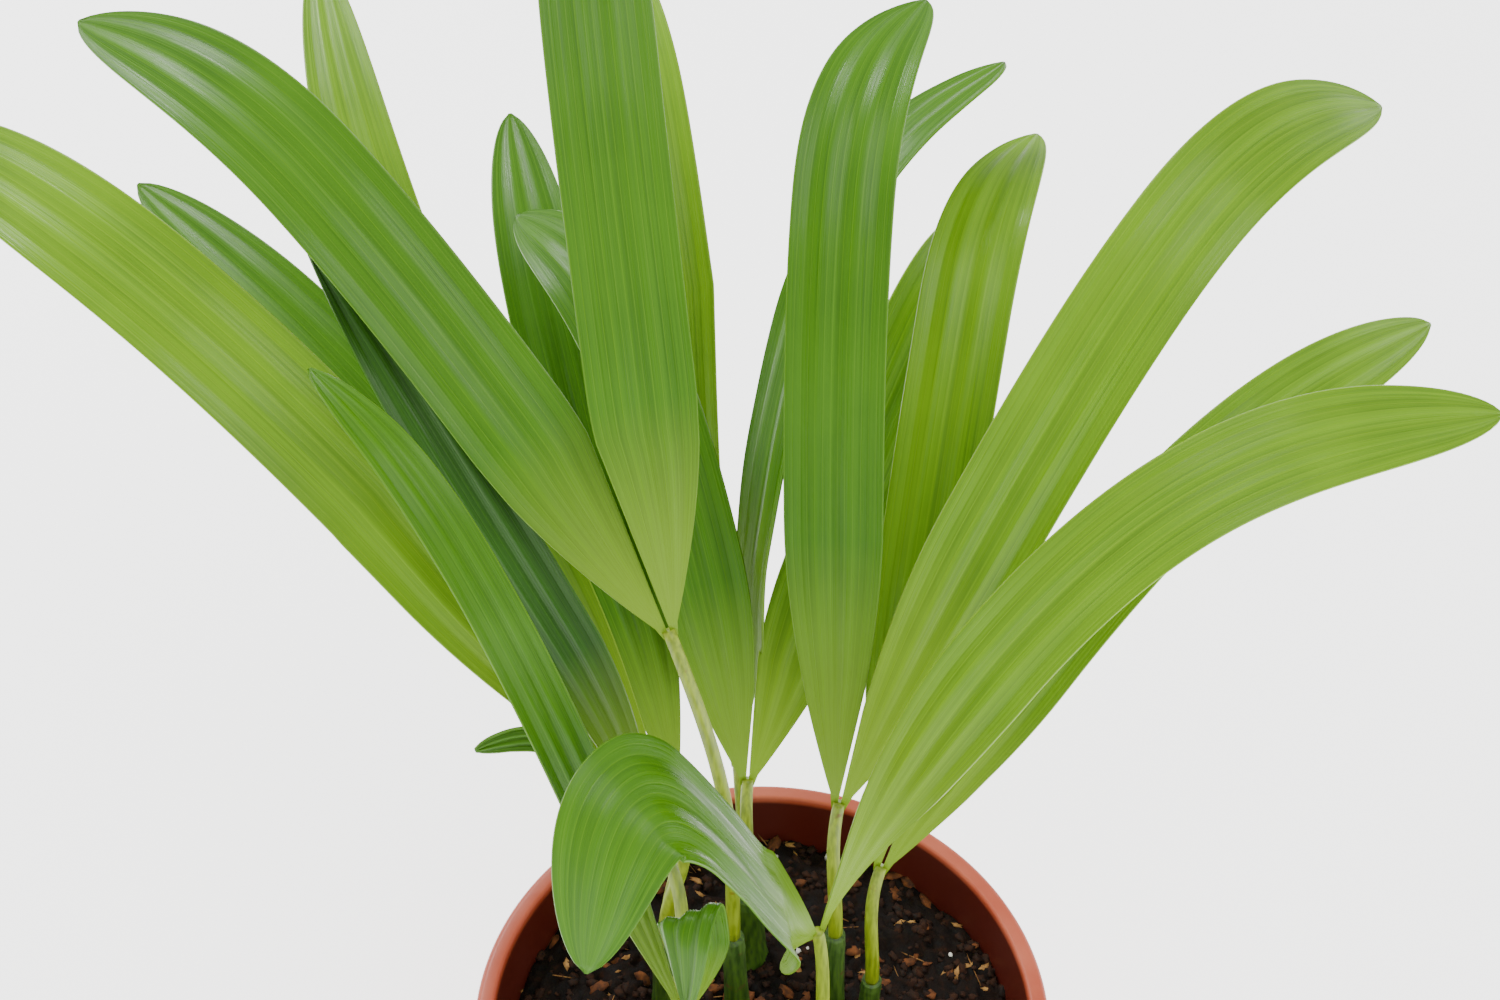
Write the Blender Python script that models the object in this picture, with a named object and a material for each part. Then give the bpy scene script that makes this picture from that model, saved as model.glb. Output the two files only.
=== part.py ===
# A young palm in a round nursery pot. Each leaf is split once, into two broad pleated lobes on a
# slim stalk, and the stalks rise from short sheathed stems that stand in a filled pot.
# Metres, +Z up. The origin is the centre of the pot's flat underside. The viewer of the photograph
# stands on the -Y side and looks down on the plant.

import math
from dataclasses import dataclass

import bmesh
import bpy
from mathutils import Matrix, Vector

# The clearance between neighbours that touch on the real plant
GAP = 0.0003

# The pot: thin moulded wall, rolled rim, flat floor with drain holes
POT_HEIGHT = 0.108
RIM_RADIUS = 0.060
RIM_BAND_HEIGHT = 0.009
RIM_ROLL = 0.0014
RIM_STEP = 0.0022
FOOT_RADIUS = 0.043
FOOT_ROUND = 0.0015
POT_WALL = 0.0018
POT_FLOOR = 0.0022
POT_SIDES = 48
DRAIN_COUNT = 8
DRAIN_RADIUS = 0.0035
DRAIN_CIRCLE = 0.030
DRAIN_SIDES = 12

# The soil: a plug that fills the pot to a little below the rim
SOIL_TOP = 0.096
SOIL_EDGE_DROP = 0.0020
SOIL_FLAT_RADIUS = 0.042
SOIL_SIDES = 40

# Stems and stalks
STEM_SIDES = 10
STEM_STEPS = 6
STEM_FLARE = 0.35
STALK_SIDES = 8
STALK_STEPS = 8
STALK_FOOT_RADIUS = 0.0015
STALK_TIP_RADIUS = 0.0012
TWIN_SPREAD = 0.0021

# Lobes
LOBE_STEPS = 11
LOBE_PLEATS = 6
LOBE_THICKNESS_SHARE = 0.0105
LOBE_FOOT_WIDTH = 0.0016
LOBE_TIP_WIDTH = 0.0010
PLEAT_DEPTH = 0.0009
PLEAT_RISE_SHARE = 0.15
SPREAD_SHARE = 0.30
TAPER_START = 0.55
TAPER_POWER = 2.6
TAPER_ROUNDING = 0.62
ROLL_SHARE = 0.16
PLEAT_LEAN = 0.40
LEAST_SLANT = 0.02
FRAME_STEPS = 40

# Finishes, as sRGB and roughness
LEAF_GREEN = (0.38, 0.58, 0.14)
YOUNG_GREEN = (0.47, 0.64, 0.17)
STALK_GREEN = (0.58, 0.68, 0.24)
SHEATH_GREEN = (0.24, 0.38, 0.12)
TERRACOTTA = (0.68, 0.27, 0.18)
SOIL_BROWN = (0.13, 0.09, 0.07)
LEAF_ROUGHNESS = 0.35
STALK_ROUGHNESS = 0.45
POT_ROUGHNESS = 0.45
SOIL_ROUGHNESS = 0.95


@dataclass
class Lobe:
    # The tip lies `reach` out from the fork towards `bearing` (degrees from +X, anticlockwise) and
    # `rise` above it. On the way the lobe bows up by `arch` and aside by `sweep`, most at `crest`.
    bearing: float
    reach: float
    rise: float
    arch: float
    sweep: float = 0.0
    crest: float = 0.5
    width: float = 0.018
    # Degrees that the blade turns about its own length, near the fork and from there to the tip
    roll: float = 0.0
    twist: float = 0.0
    # The tip's place across the blade, from -1 (left edge) to 1 (right edge)
    tip_side: float = 0.0
    # A lobe that bends round a wide gap is made in two pieces, which part here along its length
    parts_at: float = 0.0


@dataclass
class Leaf:
    fork: tuple
    left: Lobe
    right: Lobe
    # The bearing that the upper face looks to at the fork, in degrees
    facing: float = 270.0


@dataclass
class Stem:
    foot: tuple
    top: tuple
    radius: float
    leaves: tuple


LEAVES = {
    "tall_frond": Leaf(
        fork=(-0.017, 0.003, 0.233),
        facing=290,
        left=Lobe(
            136.5, reach=0.142, rise=0.067, arch=0.028, sweep=0.0055, width=0.0195, tip_side=-0.8
        ),
        right=Lobe(100, reach=0.092, rise=0.118, arch=0.022, sweep=0.002, width=0.0190),
    ),
    "back_frond": Leaf(
        fork=(-0.005, 0.033, 0.153),
        facing=262,
        left=Lobe(101.5, reach=0.117, rise=0.119, arch=0.033, sweep=0.002, width=0.0170),
        right=Lobe(
            59, 0.100, 0.114, 0.049, sweep=0.0095, crest=0.42, width=0.0165, roll=-60, twist=15
        ),
    ),
    "inner_frond": Leaf(
        fork=(-0.003, 0.025, 0.158),
        facing=272,
        left=Lobe(119.5, reach=0.092, rise=0.081, arch=0.036, sweep=-0.003, width=0.0175),
        right=Lobe(64, reach=0.114, rise=0.062, arch=0.031, sweep=-0.004, width=0.0175),
    ),
    "far_left_frond": Leaf(
        fork=(-0.020, 0.003, 0.183),
        facing=300,
        left=Lobe(146, reach=0.175, rise=0.085, arch=0.043, sweep=0.011, width=0.0205),
        right=Lobe(116, reach=0.160, rise=0.088, arch=0.023, sweep=0.013, width=0.0150),
    ),
    "upper_left_frond": Leaf(
        fork=(-0.018, 0.022, 0.158),
        facing=295,
        left=Lobe(135, reach=0.160, rise=0.062, arch=0.020, sweep=0.001, width=0.0175),
        right=Lobe(106.5, reach=0.124, rise=0.076, arch=0.020, sweep=0.004, width=0.0170),
    ),
    "left_frond": Leaf(
        fork=(-0.021, -0.005, 0.183),
        facing=290,
        left=Lobe(170, reach=0.033, rise=0.019, arch=0.012, sweep=-0.002, width=0.0050),
        right=Lobe(138, reach=0.091, rise=0.093, arch=0.030, sweep=0.007, width=0.0190),
    ),
    "low_left_frond": Leaf(
        fork=(-0.015, -0.030, 0.160),
        facing=285,
        left=Lobe(139, reach=0.083, rise=0.119, arch=0.037, sweep=0.003, width=0.0095, twist=45),
        right=Lobe(258, reach=0.017, rise=0.021, arch=0.034, width=0.0180),
    ),
    "upright_frond": Leaf(
        fork=(0.015, 0.012, 0.168),
        facing=260,
        left=Lobe(85, reach=0.102, rise=0.120, arch=0.044, sweep=0.005, width=0.0185, tip_side=0.8),
        right=Lobe(
            43.5, reach=0.136, rise=0.107, arch=0.053, sweep=-0.007, width=0.0195, tip_side=0.7
        ),
    ),
    "right_frond": Leaf(
        fork=(0.024, 0.012, 0.146),
        facing=250,
        left=Lobe(
            77, reach=0.106, rise=0.106, arch=0.045, sweep=-0.0015, width=0.0175, tip_side=0.8
        ),
        right=Lobe(
            36, reach=0.140, rise=0.067, arch=0.041, sweep=-0.003, width=0.0165, tip_side=-0.6
        ),
    ),
    "near_frond": Leaf(
        fork=(0.0105, -0.012, 0.159),
        facing=300,
        left=Lobe(
            224, 0.057, 0.049, 0.043, sweep=-0.006, crest=0.60, width=0.0235, roll=75, parts_at=0.55
        ),
        right=Lobe(22, 0.132, 0.094, 0.054, sweep=-0.001, crest=0.42, width=0.0175, roll=-65),
    ),
    "front_left_frond": Leaf(
        fork=(-0.009, -0.038, 0.136),
        facing=90,
        left=Lobe(258, reach=0.078, rise=0.008, arch=0.018, width=0.0170),
        right=Lobe(225, reach=0.072, rise=0.012, arch=0.022, width=0.0165),
    ),
    "front_right_frond": Leaf(
        fork=(0.011, -0.037, 0.139),
        facing=90,
        left=Lobe(318, reach=0.074, rise=0.014, arch=0.022, width=0.0165),
        right=Lobe(285, reach=0.080, rise=0.010, arch=0.019, width=0.0170),
    ),
}

STEMS = {
    "tall_stem": Stem((-0.005, 0.008), (-0.006, 0.009, 0.125), 0.0026, ("tall_frond",)),
    "back_stem": Stem((-0.003, 0.024), (-0.003, 0.026, 0.116), 0.0038, ("back_frond", "inner_frond")),
    "left_stem": Stem(
        (-0.019, 0.012), (-0.020, 0.014, 0.118), 0.0038, ("far_left_frond", "upper_left_frond")
    ),
    "low_left_stem": Stem(
        (-0.016, -0.010), (-0.017, -0.009, 0.112), 0.0038, ("low_left_frond", "left_frond")
    ),
    "upright_stem": Stem((0.015, 0.008), (0.015, 0.009, 0.126), 0.0024, ("upright_frond",)),
    "right_stem": Stem((0.022, 0.006), (0.023, 0.008, 0.110), 0.0024, ("right_frond",)),
    "near_stem": Stem((0.012, -0.012), (0.012, -0.012, 0.112), 0.0024, ("near_frond",)),
    "front_stem": Stem(
        (0.001, -0.026), (0.001, -0.027, 0.108), 0.0038, ("front_left_frond", "front_right_frond")
    ),
}


def clear_scene():
    for obj in list(bpy.data.objects):
        bpy.data.objects.remove(obj, do_unlink=True)


def linear(channel):
    return channel / 12.92 if channel <= 0.04045 else ((channel + 0.055) / 1.055) ** 2.4


def paint(obj, colour, roughness):
    material = bpy.data.materials.new(obj.name + "_finish")
    material.use_nodes = True
    shader = material.node_tree.nodes["Principled BSDF"]
    shader.inputs["Base Color"].default_value = (*[linear(c) for c in colour], 1.0)
    shader.inputs["Roughness"].default_value = roughness
    shader.inputs["Metallic"].default_value = 0.0
    material.diffuse_color = (*colour, 1.0)
    obj.data.materials.append(material)


def add_object(name, mesh):
    obj = bpy.data.objects.new(name, mesh)
    bpy.context.scene.collection.objects.link(obj)
    return obj


def grid_mesh(name, rows, closed_across=False, capped=False):
    # A mesh over rows of points. Closed across, each row is a ring, and caps fill the two ends.
    bm = bmesh.new()
    grid = [[bm.verts.new(point) for point in row] for row in rows]
    across = len(rows[0]) if closed_across else len(rows[0]) - 1
    for low, high in zip(grid, grid[1:]):
        for i in range(across):
            j = (i + 1) % len(low)
            bm.faces.new((low[i], low[j], high[j], high[i]))
    if capped:
        bm.faces.new(reversed(grid[0]))
        bm.faces.new(grid[-1])
    mesh = bpy.data.meshes.new(name)
    bm.to_mesh(mesh)
    bm.free()
    return mesh


def smooth(mesh, angle=40.0):
    mesh.shade_smooth()
    mesh.set_sharp_from_angle(angle=math.radians(angle))


def turned(name, profile, sides):
    # A solid turned round Z. The profile starts and ends on the axis, from the underside upwards.
    bm = bmesh.new()
    low, high = profile[0], profile[-1]
    rings = []
    for radius, height in profile[1:-1]:
        ring = []
        for i in range(sides):
            angle = math.tau * i / sides
            ring.append(bm.verts.new((radius * math.cos(angle), radius * math.sin(angle), height)))
        rings.append(ring)
    for lower, upper in zip(rings, rings[1:]):
        for i in range(sides):
            j = (i + 1) % sides
            bm.faces.new((lower[i], lower[j], upper[j], upper[i]))
    for ring, (_, height), upward in ((rings[0], low, False), (rings[-1], high, True)):
        hub = bm.verts.new((0.0, 0.0, height))
        for i in range(sides):
            j = (i + 1) % sides
            bm.faces.new((ring[i], ring[j], hub) if upward else (ring[j], ring[i], hub))
    mesh = bpy.data.meshes.new(name)
    bm.to_mesh(mesh)
    bm.free()
    return add_object(name, mesh)


def pot_radius(height):
    # The outer radius of the tapered wall, below the rim band
    top = RIM_RADIUS - RIM_STEP
    return FOOT_RADIUS + (top - FOOT_RADIUS) * height / POT_HEIGHT


def pot_profile():
    band_foot = POT_HEIGHT - RIM_BAND_HEIGHT
    rim_inner = pot_radius(POT_HEIGHT) - POT_WALL
    return [
        (0.0, 0.0),
        (FOOT_RADIUS - FOOT_ROUND, 0.0),
        (FOOT_RADIUS, FOOT_ROUND),
        (pot_radius(band_foot), band_foot),
        (RIM_RADIUS - RIM_ROLL * 0.4, band_foot),
        (RIM_RADIUS, band_foot + RIM_ROLL),
        (RIM_RADIUS, POT_HEIGHT - RIM_ROLL),
        (RIM_RADIUS - RIM_ROLL * 0.4, POT_HEIGHT - RIM_ROLL * 0.3),
        (RIM_RADIUS - RIM_ROLL, POT_HEIGHT),
        (rim_inner + RIM_ROLL * 0.5, POT_HEIGHT),
        (rim_inner, POT_HEIGHT - RIM_ROLL * 0.7),
        (pot_radius(POT_FLOOR) - POT_WALL, POT_FLOOR),
        (0.0, POT_FLOOR),
    ]


def drain_cutter():
    bm = bmesh.new()
    for i in range(DRAIN_COUNT):
        angle = math.tau * (i + 0.5) / DRAIN_COUNT
        place = Vector((math.cos(angle), math.sin(angle), 0.0)) * DRAIN_CIRCLE
        bmesh.ops.create_cone(
            bm,
            cap_ends=True,
            segments=DRAIN_SIDES,
            radius1=DRAIN_RADIUS,
            radius2=DRAIN_RADIUS,
            depth=POT_FLOOR * 4,
            matrix=Matrix.Translation(place),
        )
    mesh = bpy.data.meshes.new("drain_cutter")
    bm.to_mesh(mesh)
    bm.free()
    cutter = add_object("drain_cutter", mesh)
    cutter.hide_render = True
    cutter.display_type = "WIRE"
    return cutter


def make_pot():
    pot = turned("pot", pot_profile(), POT_SIDES)
    holes = pot.modifiers.new("drain holes", "BOOLEAN")
    holes.operation = "DIFFERENCE"
    holes.object = drain_cutter()
    smooth(pot.data)
    paint(pot, TERRACOTTA, POT_ROUGHNESS)


def make_soil():
    floor = POT_FLOOR + GAP
    edge_height = SOIL_TOP - SOIL_EDGE_DROP
    profile = [
        (0.0, floor),
        (pot_radius(floor) - POT_WALL - GAP, floor),
        (pot_radius(edge_height) - POT_WALL - GAP, edge_height),
        (SOIL_FLAT_RADIUS, SOIL_TOP),
        (0.0, SOIL_TOP),
    ]
    soil = turned("soil", profile, SOIL_SIDES)
    smooth(soil.data)
    paint(soil, SOIL_BROWN, SOIL_ROUGHNESS)


def bezier(a, b, c, d, t):
    u = 1.0 - t
    return a * u**3 + b * (3 * u * u * t) + c * (3 * u * t * t) + d * t**3


def tube_mesh(name, points, radii, sides, level_top=False):
    # A round limb along a line of points. Its first ring is level, and its last one on request.
    rings = []
    across = Vector((1.0, 0.0, 0.0))
    for i, point in enumerate(points):
        before, after = points[max(i - 1, 0)], points[min(i + 1, len(points) - 1)]
        along = (after - before).normalized()
        if i == 0 or (level_top and i == len(points) - 1):
            along = Vector((0.0, 0.0, 1.0))
        across = (across - along * across.dot(along)).normalized()
        other = along.cross(across)
        ring = []
        for k in range(sides):
            angle = math.tau * k / sides
            ring.append(point + (across * math.cos(angle) + other * math.sin(angle)) * radii[i])
        rings.append(ring)
    mesh = grid_mesh(name, rings, closed_across=True, capped=True)
    smooth(mesh, 60.0)
    return mesh


def make_stem(name, stem):
    foot = Vector((*stem.foot, SOIL_TOP + GAP))
    top = Vector(stem.top)
    points, radii = [], []
    for i in range(STEM_STEPS + 1):
        t = i / STEM_STEPS
        flare = 1.0 + STEM_FLARE * (1.0 - t) ** 4
        points.append(foot.lerp(top, t))
        radii.append(stem.radius * flare * (1.0 - 0.10 * t))
    obj = add_object(name, tube_mesh(name, points, radii, STEM_SIDES, level_top=True))
    paint(obj, SHEATH_GREEN, STALK_ROUGHNESS)


def lobe_point(fork, lobe, t):
    bearing = math.radians(lobe.bearing)
    out = Vector((math.cos(bearing), math.sin(bearing), 0.0))
    aside = Vector((-out.y, out.x, 0.0))
    bow = math.sin(math.pi * t ** (math.log(0.5) / math.log(lobe.crest)))
    up = Vector((0.0, 0.0, lobe.rise * t + lobe.arch * bow))
    return fork + out * lobe.reach * t + aside * lobe.sweep * bow + up


def lobe_heading(fork, lobe, t):
    step = 0.01
    low, high = max(t - step, 0.0), min(t + step, 1.0)
    return (lobe_point(fork, lobe, high) - lobe_point(fork, lobe, low)).normalized()


def lobe_length(fork, lobe):
    points = [lobe_point(fork, lobe, i / 40) for i in range(41)]
    return sum((b - a).length for a, b in zip(points, points[1:]))


def blade_half_width(lobe, t):
    # Spreads from the narrow foot to its full width, keeps it, and closes in to the tip
    spread = math.sin(math.pi / 2 * min(1.0, t / SPREAD_SHARE)) ** 0.9
    fall = max(0.0, (t - TAPER_START) / (1.0 - TAPER_START))
    taper = (1.0 - fall**TAPER_POWER) ** TAPER_ROUNDING
    half = lobe.width / 2 * spread * taper
    shift = lobe.tip_side * lobe.width / 2 * fall**2
    return half, shift


def fork_frame(leaf):
    # The leaf's own plane at the fork: its face, the way across to the right and the way forward
    fork = Vector(leaf.fork)
    forward = (lobe_heading(fork, leaf.left, 0.0) + lobe_heading(fork, leaf.right, 0.0)).normalized()
    facing = math.radians(leaf.facing)
    face = Vector((math.cos(facing), math.sin(facing), 0.0))
    face = (face - forward * face.dot(forward)).normalized()
    return fork, forward.cross(face), forward, face


def lobe_frame(leaf, lobe, side, t):
    # Where the blade's middle is at t, the way it runs and the way its face looks
    fork, across, forward, face = fork_frame(leaf)
    turn = forward.angle(lobe_heading(fork, lobe, 0.0))
    start = forward * (GAP + LOBE_FOOT_WIDTH * math.sin(turn))
    start += across * side * (LOBE_FOOT_WIDTH + GAP) / 2
    normal = face
    for i in range(FRAME_STEPS + 1):
        heading = lobe_heading(fork, lobe, t * i / FRAME_STEPS)
        normal = (normal - heading * normal.dot(heading)).normalized()
    settle = min(1.0, t / ROLL_SHARE)
    angle = math.radians(lobe.roll * settle * settle * (3 - 2 * settle) + lobe.twist * t)
    normal = Matrix.Rotation(angle, 3, heading) @ normal
    return lobe_point(fork, lobe, t) + start, heading, normal


def blade_row(leaf, lobe, side, t):
    # The points across the blade at t, from its left edge to its right, pleated in a zigzag
    fork, across, _, _ = fork_frame(leaf)
    centre, heading, normal = lobe_frame(leaf, lobe, side, t)
    aside = heading.cross(normal)
    half, shift = blade_half_width(lobe, t)
    half = max(half, (LOBE_FOOT_WIDTH if t < 0.5 else LOBE_TIP_WIDTH) / 2)
    left, right = half - shift, half + shift
    # Neither lobe crosses the plane that parts the two
    slant = aside.dot(across)
    if slant > LEAST_SLANT:
        room = ((centre - fork).dot(across) * side - GAP / 2) / slant
        left = min(left, room) if side > 0 else left
        right = min(right, room) if side < 0 else right
    pleat = PLEAT_DEPTH / 2 * min(1.0, t / PLEAT_RISE_SHARE) * min(1.0, 2 * half / lobe.width)
    depth = lobe_length(fork, lobe) * LOBE_THICKNESS_SHARE / 2 + pleat
    row = []
    for i in range(LOBE_PLEATS + 1):
        place = -left + (left + right) * i / LOBE_PLEATS
        row.append(centre + aside * place + normal * (pleat if i % 2 else -pleat))
    nearest = min((point - fork).dot(across) * side for point in row)
    short = max(0.0, GAP / 2 + depth * (abs(normal.dot(across)) + PLEAT_LEAN) - nearest)
    return [point + across * side * short for point in row]


def make_lobe(name, leaf, lobe, side, tone):
    length = lobe_length(Vector(leaf.fork), lobe)
    spans = [(name, 0.0, 1.0)]
    if lobe.parts_at:
        slit = GAP / 2 / length
        spans = [
            (name + "_lower", 0.0, lobe.parts_at - slit),
            (name + "_upper", lobe.parts_at + slit, 1.0),
        ]
    for piece, t_from, t_to in spans:
        steps = max(4, round(LOBE_STEPS * (t_to - t_from)))
        rows = [blade_row(leaf, lobe, side, t_from + (t_to - t_from) * i / steps) for i in range(steps + 1)]
        obj = add_object(piece, grid_mesh(piece, rows))
        solid = obj.modifiers.new("blade thickness", "SOLIDIFY")
        solid.thickness = length * LOBE_THICKNESS_SHARE
        solid.offset = 0.0
        paint(obj, tone, LEAF_ROUGHNESS)


def make_stalk(name, leaf, foot, foot_radius):
    fork, _, forward, _ = fork_frame(leaf)
    span = (fork - foot).length
    up = Vector((0.0, 0.0, 1.0))
    points, radii = [], []
    for i in range(STALK_STEPS + 1):
        t = i / STALK_STEPS
        points.append(bezier(foot, foot + up * span * 0.4, fork - forward * span * 0.3, fork, t))
        radii.append(foot_radius + (STALK_TIP_RADIUS - foot_radius) * t)
    obj = add_object(name, tube_mesh(name, points, radii, STALK_SIDES))
    paint(obj, STALK_GREEN, STALK_ROUGHNESS)


def make_leaves(stem):
    top = Vector(stem.top)
    for i, name in enumerate(stem.leaves):
        leaf = LEAVES[name]
        foot = top + Vector((0.0, 0.0, GAP))
        if len(stem.leaves) > 1:
            away = Vector(leaf.fork) - Vector(LEAVES[stem.leaves[1 - i]].fork)
            away.z = 0.0
            foot += away.normalized() * TWIN_SPREAD
        make_stalk(name + "_stalk", leaf, foot, STALK_FOOT_RADIUS)
        make_lobe(name + "_left_lobe", leaf, leaf.left, -1, LEAF_GREEN)
        make_lobe(name + "_right_lobe", leaf, leaf.right, 1, YOUNG_GREEN)


def main():
    clear_scene()
    make_pot()
    make_soil()
    for name, stem in STEMS.items():
        make_stem(name, stem)
        make_leaves(stem)


main()
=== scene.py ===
import math

import bmesh
import bpy
from mathutils import Matrix, Vector, noise


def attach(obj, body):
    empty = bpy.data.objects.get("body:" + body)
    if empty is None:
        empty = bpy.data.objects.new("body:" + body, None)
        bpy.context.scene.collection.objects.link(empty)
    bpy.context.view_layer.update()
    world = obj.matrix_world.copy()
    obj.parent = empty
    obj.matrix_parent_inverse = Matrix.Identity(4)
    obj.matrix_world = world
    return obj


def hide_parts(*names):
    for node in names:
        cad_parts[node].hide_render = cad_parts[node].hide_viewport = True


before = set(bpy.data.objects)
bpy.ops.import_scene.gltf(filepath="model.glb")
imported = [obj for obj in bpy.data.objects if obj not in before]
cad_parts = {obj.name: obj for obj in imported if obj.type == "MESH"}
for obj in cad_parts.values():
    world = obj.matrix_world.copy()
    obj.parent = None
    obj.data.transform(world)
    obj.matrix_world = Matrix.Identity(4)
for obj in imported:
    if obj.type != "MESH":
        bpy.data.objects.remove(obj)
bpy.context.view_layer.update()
print("stage: frame loaded")

# Air left between neighbouring pieces, and the height of the soil in the pot
clearance = 0.0003
soilTop = 0.096

# Each frond forks once into two lobes. A lobe's tip lies `reach` out towards `bearing` and `rise` up,
# and on the way it bows up by `arch` and aside by `sweep`, most of all at `crest`. `roll` and `twist`
# turn the blade about its own length, `tipSide` sets its tip off its midline, and `spread` is the
# share of its length in which it widens. Angles are in degrees.
frondPlans = {
    "tall_frond": {
        "fork": (-0.017, 0.003, 0.233),
        "facing": 290,
        "left": {
            "bearing": 136.5, "reach": 0.142, "rise": 0.067, "arch": 0.028,
            "width": 0.0195, "sweep": 0.0055, "tipSide": -0.8,
        },
        "right": {
            "bearing": 100, "reach": 0.092, "rise": 0.118,
            "arch": 0.022, "width": 0.019, "sweep": 0.002,
        },
    },
    "back_frond": {
        "fork": (-0.005, 0.033, 0.153),
        "facing": 262,
        "left": {
            "bearing": 101.5, "reach": 0.117, "rise": 0.119,
            "arch": 0.033, "width": 0.017, "sweep": 0.002,
        },
        "right": {
            "bearing": 59, "reach": 0.1, "rise": 0.114, "arch": 0.049, "width": 0.0165,
            "sweep": 0.0095, "crest": 0.42, "roll": -60, "twist": 15,
        },
    },
    "inner_frond": {
        "fork": (-0.003, 0.025, 0.158),
        "facing": 272,
        "left": {
            "bearing": 119.5, "reach": 0.092, "rise": 0.081,
            "arch": 0.036, "width": 0.0175, "sweep": -0.003,
        },
        "right": {
            "bearing": 64, "reach": 0.114, "rise": 0.062,
            "arch": 0.031, "width": 0.0175, "sweep": -0.004,
        },
    },
    "far_left_frond": {
        "fork": (-0.02, 0.003, 0.183),
        "facing": 300,
        "left": {
            "bearing": 146, "reach": 0.175, "rise": 0.085,
            "arch": 0.043, "width": 0.0205, "sweep": 0.011,
        },
        "right": {
            "bearing": 116, "reach": 0.16, "rise": 0.088,
            "arch": 0.023, "width": 0.015, "sweep": 0.013,
        },
    },
    "upper_left_frond": {
        "fork": (-0.018, 0.022, 0.158),
        "facing": 295,
        "left": {
            "bearing": 135, "reach": 0.16, "rise": 0.062,
            "arch": 0.02, "width": 0.0175, "sweep": 0.001,
        },
        "right": {
            "bearing": 106.5, "reach": 0.124, "rise": 0.076,
            "arch": 0.02, "width": 0.017, "sweep": 0.004,
        },
    },
    "left_frond": {
        "fork": (-0.021, -0.005, 0.183),
        "facing": 290,
        "left": {
            "bearing": 170, "reach": 0.033, "rise": 0.019,
            "arch": 0.012, "width": 0.005, "sweep": -0.002,
        },
        "right": {
            "bearing": 138, "reach": 0.091, "rise": 0.093,
            "arch": 0.03, "width": 0.019, "sweep": 0.007,
        },
    },
    "low_left_frond": {
        "fork": (-0.015, -0.03, 0.16),
        "facing": 285,
        "left": {
            "bearing": 139, "reach": 0.083, "rise": 0.119, "arch": 0.037,
            "width": 0.0095, "sweep": 0.003, "twist": 45,
        },
        "right": {"bearing": 258, "reach": 0.017, "rise": 0.021, "arch": 0.034, "width": 0.018},
    },
    "upright_frond": {
        "fork": (0.015, 0.012, 0.168),
        "facing": 260,
        "left": {
            "bearing": 85, "reach": 0.102, "rise": 0.12, "arch": 0.044,
            "width": 0.0185, "sweep": 0.005, "tipSide": 0.8,
        },
        "right": {
            "bearing": 43.5, "reach": 0.136, "rise": 0.107, "arch": 0.053,
            "width": 0.0195, "sweep": -0.007, "tipSide": 0.7,
        },
    },
    "right_frond": {
        "fork": (0.024, 0.012, 0.146),
        "facing": 250,
        "left": {
            "bearing": 77, "reach": 0.106, "rise": 0.106, "arch": 0.045,
            "width": 0.0175, "sweep": -0.0015, "tipSide": 0.8,
        },
        "right": {
            "bearing": 36, "reach": 0.14, "rise": 0.067, "arch": 0.041,
            "width": 0.0165, "sweep": -0.003, "tipSide": -0.6,
        },
    },
    "near_frond": {
        "fork": (0.0105, -0.012, 0.159),
        "facing": 300,
        "left": {
            "bearing": 224, "reach": 0.057, "rise": 0.049, "arch": 0.043,
            "width": 0.0245, "spread": 0.15, "sweep": -0.006, "crest": 0.6, "roll": 75,
        },
        "right": {
            "bearing": 22, "reach": 0.132, "rise": 0.094, "arch": 0.054,
            "width": 0.0175, "sweep": -0.001, "crest": 0.42, "roll": -65,
        },
    },
    "front_left_frond": {
        "fork": (-0.009, -0.038, 0.136),
        "facing": 90,
        "left": {"bearing": 258, "reach": 0.078, "rise": 0.008, "arch": 0.018, "width": 0.017},
        "right": {"bearing": 225, "reach": 0.072, "rise": 0.012, "arch": 0.022, "width": 0.0165},
    },
    "front_right_frond": {
        "fork": (0.011, -0.037, 0.139),
        "facing": 90,
        "left": {"bearing": 318, "reach": 0.074, "rise": 0.014, "arch": 0.022, "width": 0.0165},
        "right": {"bearing": 285, "reach": 0.08, "rise": 0.01, "arch": 0.019, "width": 0.017},
    },
}

# A stem stands at `foot` in the soil, ends level at `top` and carries one frond or two
stemPlans = {
    "tall_stem": {
        "foot": (-0.005, 0.008), "top": (-0.006, 0.009, 0.125), "radius": 0.0026,
        "fronds": ("tall_frond",),
    },
    "back_stem": {
        "foot": (-0.003, 0.024), "top": (-0.003, 0.026, 0.116), "radius": 0.0038,
        "fronds": ("back_frond", "inner_frond"),
    },
    "left_stem": {
        "foot": (-0.019, 0.012), "top": (-0.02, 0.014, 0.118), "radius": 0.0038,
        "fronds": ("far_left_frond", "upper_left_frond"),
    },
    "low_left_stem": {
        "foot": (-0.016, -0.01), "top": (-0.017, -0.009, 0.112), "radius": 0.0038,
        "fronds": ("low_left_frond", "left_frond"),
    },
    "upright_stem": {
        "foot": (0.015, 0.008), "top": (0.015, 0.009, 0.126), "radius": 0.0024,
        "fronds": ("upright_frond",),
    },
    "right_stem": {
        "foot": (0.022, 0.006), "top": (0.023, 0.008, 0.11), "radius": 0.0024,
        "fronds": ("right_frond",),
    },
    "near_stem": {
        "foot": (0.012, -0.012), "top": (0.012, -0.012, 0.112), "radius": 0.0024,
        "fronds": ("near_frond",),
    },
    "front_stem": {
        "foot": (0.001, -0.026), "top": (0.001, -0.027, 0.108), "radius": 0.0038,
        "fronds": ("front_left_frond", "front_right_frond"),
    },
}


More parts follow.
